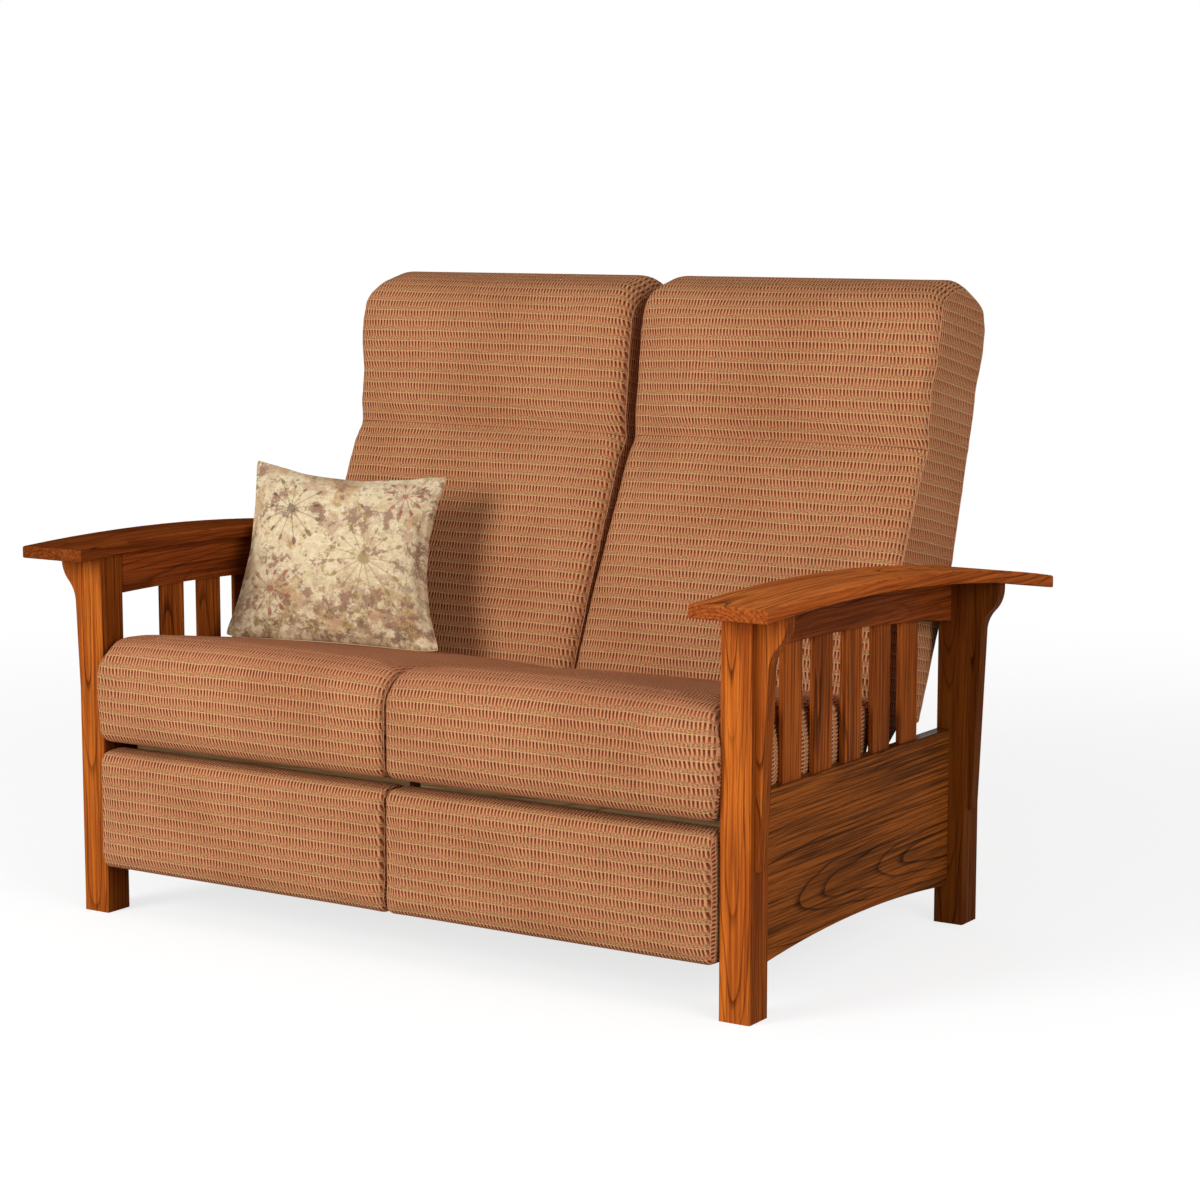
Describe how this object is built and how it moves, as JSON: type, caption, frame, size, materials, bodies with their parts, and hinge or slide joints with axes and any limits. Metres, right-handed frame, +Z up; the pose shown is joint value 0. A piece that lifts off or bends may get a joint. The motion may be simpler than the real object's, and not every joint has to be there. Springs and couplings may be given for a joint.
{
  "type": "mission reclining loveseat",
  "caption": "Mission reclining loveseat: slatted wood sides with bowed arms, and side-by-side upholstered seats whose backs recline as the footrests rise.",
  "frame": {"origin": "on the floor, midway between the arms and midway along the arms' length", "axes": "+X to the viewer's right along the seat, +Y from front to back, +Z up"},
  "size_m": [1.464, 1, 1.0916],
  "materials": {
    "oak": "satin stained oak",
    "frame_wood": "satin stained oak, seldom seen",
    "hardwood_frame": "bare hardwood",
    "steel": "satin black paint",
    "webbing": "elastic webbing",
    "upholstery": "woven, rows of short dashes",
    "pillow_fabric": "printed cloth"
  },
  "bodies": {
    "frame": {"front_left_post": "oak", "front_right_post": "oak", "rear_left_post": "oak", "rear_right_post": "oak", "left_arm": "oak", "right_arm": "oak", "left_top_rail": "oak", "right_top_rail": "oak", "left_side_panel": "oak", "right_side_panel": "oak", "left_slat_1": "oak", "left_slat_2": "oak", "left_slat_3": "oak", "left_slat_4": "oak", "left_slat_5": "oak", "right_slat_1": "oak", "right_slat_2": "oak", "right_slat_3": "oak", "right_slat_4": "oak", "right_slat_5": "oak", "front_left_corbel": "oak", "front_right_corbel": "oak", "rear_left_corbel": "oak", "rear_right_corbel": "oak", "front_stretcher": "frame_wood", "rear_stretcher": "frame_wood", "centre_rail": "frame_wood", "side_cleats": "frame_wood", "base_tracks": "steel"},
    "left_seat": {"left_seat_frame": "hardwood_frame", "left_seat_webbing": "webbing", "left_seat_cushion": "upholstery", "left_seat_plates": "steel", "throw_pillow": "pillow_fabric"},
    "left_back": {"left_back_frame": "hardwood_frame", "left_back_cushion": "upholstery", "left_back_hinges": "steel"},
    "left_front_lift": {"left_front_lift_links": "steel"},
    "left_rear_lift": {"left_rear_lift_links": "steel", "left_drive_tube": "steel"},
    "left_coupler": {"left_coupler_links": "steel"},
    "left_swing": {"left_swing_links": "steel"},
    "left_footrest": {"left_footrest_brackets": "steel", "left_footrest_board": "hardwood_frame", "left_footrest_pad": "upholstery"},
    "right_seat": {"right_seat_frame": "hardwood_frame", "right_seat_webbing": "webbing", "right_seat_cushion": "upholstery", "right_seat_plates": "steel"},
    "right_back": {"right_back_frame": "hardwood_frame", "right_back_cushion": "upholstery", "right_back_hinges": "steel"},
    "right_front_lift": {"right_front_lift_links": "steel"},
    "right_rear_lift": {"right_rear_lift_links": "steel", "right_drive_tube": "steel"},
    "right_coupler": {"right_coupler_links": "steel"},
    "right_swing": {"right_swing_links": "steel"},
    "right_footrest": {"right_footrest_brackets": "steel", "right_footrest_board": "hardwood_frame", "right_footrest_pad": "upholstery"}
  },
  "joints": [
    {"name": "left_recline", "type": "hinge", "parent": "left_seat", "child": "left_back", "pos_m": [-0.306, 0.118, 0.29], "axis": [-1, 0, 0], "range_deg": [0, 28]},
    {"name": "left_seat_glide", "type": "slide", "parent": "frame", "child": "left_seat", "axis": [0, -1, 0], "range_m": [0, 0.07801]},
    {"name": "left_front_lift_pivot", "type": "hinge", "parent": "left_seat", "child": "left_front_lift", "pos_m": [-0.306, -0.309, 0.23], "axis": [-1, 0, 0], "range_deg": [0, 84.01]},
    {"name": "left_rear_lift_pivot", "type": "hinge", "parent": "left_seat", "child": "left_rear_lift", "pos_m": [-0.306, -0.247, 0.217], "axis": [-1, 0, 0], "range_deg": [0, 84.01]},
    {"name": "left_coupler_pivot", "type": "hinge", "parent": "left_front_lift", "child": "left_coupler", "pos_m": [-0.306, -0.26572, 0.07908], "axis": [-1, 0, 0], "range_deg": [-84.01, 0]},
    {"name": "left_swing_pivot", "type": "hinge", "parent": "left_coupler", "child": "left_swing", "pos_m": [-0.306, -0.32072, 0.10608], "axis": [-1, 0, 0], "range_deg": [-8.41, 0]},
    {"name": "left_footrest_pivot", "type": "hinge", "parent": "left_swing", "child": "left_footrest", "pos_m": [-0.306, -0.353, 0.24], "axis": [-1, 0, 0], "range_deg": [0, 95.21]},
    {"name": "right_recline", "type": "hinge", "parent": "right_seat", "child": "right_back", "pos_m": [0.306, 0.118, 0.29], "axis": [-1, 0, 0], "range_deg": [0, 28]},
    {"name": "right_seat_glide", "type": "slide", "parent": "frame", "child": "right_seat", "axis": [0, -1, 0], "range_m": [0, 0.07801]},
    {"name": "right_front_lift_pivot", "type": "hinge", "parent": "right_seat", "child": "right_front_lift", "pos_m": [0.306, -0.309, 0.23], "axis": [-1, 0, 0], "range_deg": [0, 84.01]},
    {"name": "right_rear_lift_pivot", "type": "hinge", "parent": "right_seat", "child": "right_rear_lift", "pos_m": [0.306, -0.247, 0.217], "axis": [-1, 0, 0], "range_deg": [0, 84.01]},
    {"name": "right_coupler_pivot", "type": "hinge", "parent": "right_front_lift", "child": "right_coupler", "pos_m": [0.306, -0.26572, 0.07908], "axis": [-1, 0, 0], "range_deg": [-84.01, 0]},
    {"name": "right_swing_pivot", "type": "hinge", "parent": "right_coupler", "child": "right_swing", "pos_m": [0.306, -0.32072, 0.10608], "axis": [-1, 0, 0], "range_deg": [-8.41, 0]},
    {"name": "right_footrest_pivot", "type": "hinge", "parent": "right_swing", "child": "right_footrest", "pos_m": [0.306, -0.353, 0.24], "axis": [-1, 0, 0], "range_deg": [0, 95.21]}
  ],
  "couplings": [
    {"joint": "left_seat_glide", "follows": "left_recline", "m_per_rad": 0.15961},
    {"joint": "left_front_lift_pivot", "follows": "left_recline", "ratio": 3},
    {"joint": "left_rear_lift_pivot", "follows": "left_recline", "ratio": 3},
    {"joint": "left_coupler_pivot", "follows": "left_recline", "ratio": -3},
    {"joint": "left_swing_pivot", "follows": "left_recline", "ratio": -0.3},
    {"joint": "left_footrest_pivot", "follows": "left_recline", "ratio": 3.4},
    {"joint": "right_seat_glide", "follows": "right_recline", "m_per_rad": 0.15961},
    {"joint": "right_front_lift_pivot", "follows": "right_recline", "ratio": 3},
    {"joint": "right_rear_lift_pivot", "follows": "right_recline", "ratio": 3},
    {"joint": "right_coupler_pivot", "follows": "right_recline", "ratio": -3},
    {"joint": "right_swing_pivot", "follows": "right_recline", "ratio": -0.3},
    {"joint": "right_footrest_pivot", "follows": "right_recline", "ratio": 3.4}
  ]
}
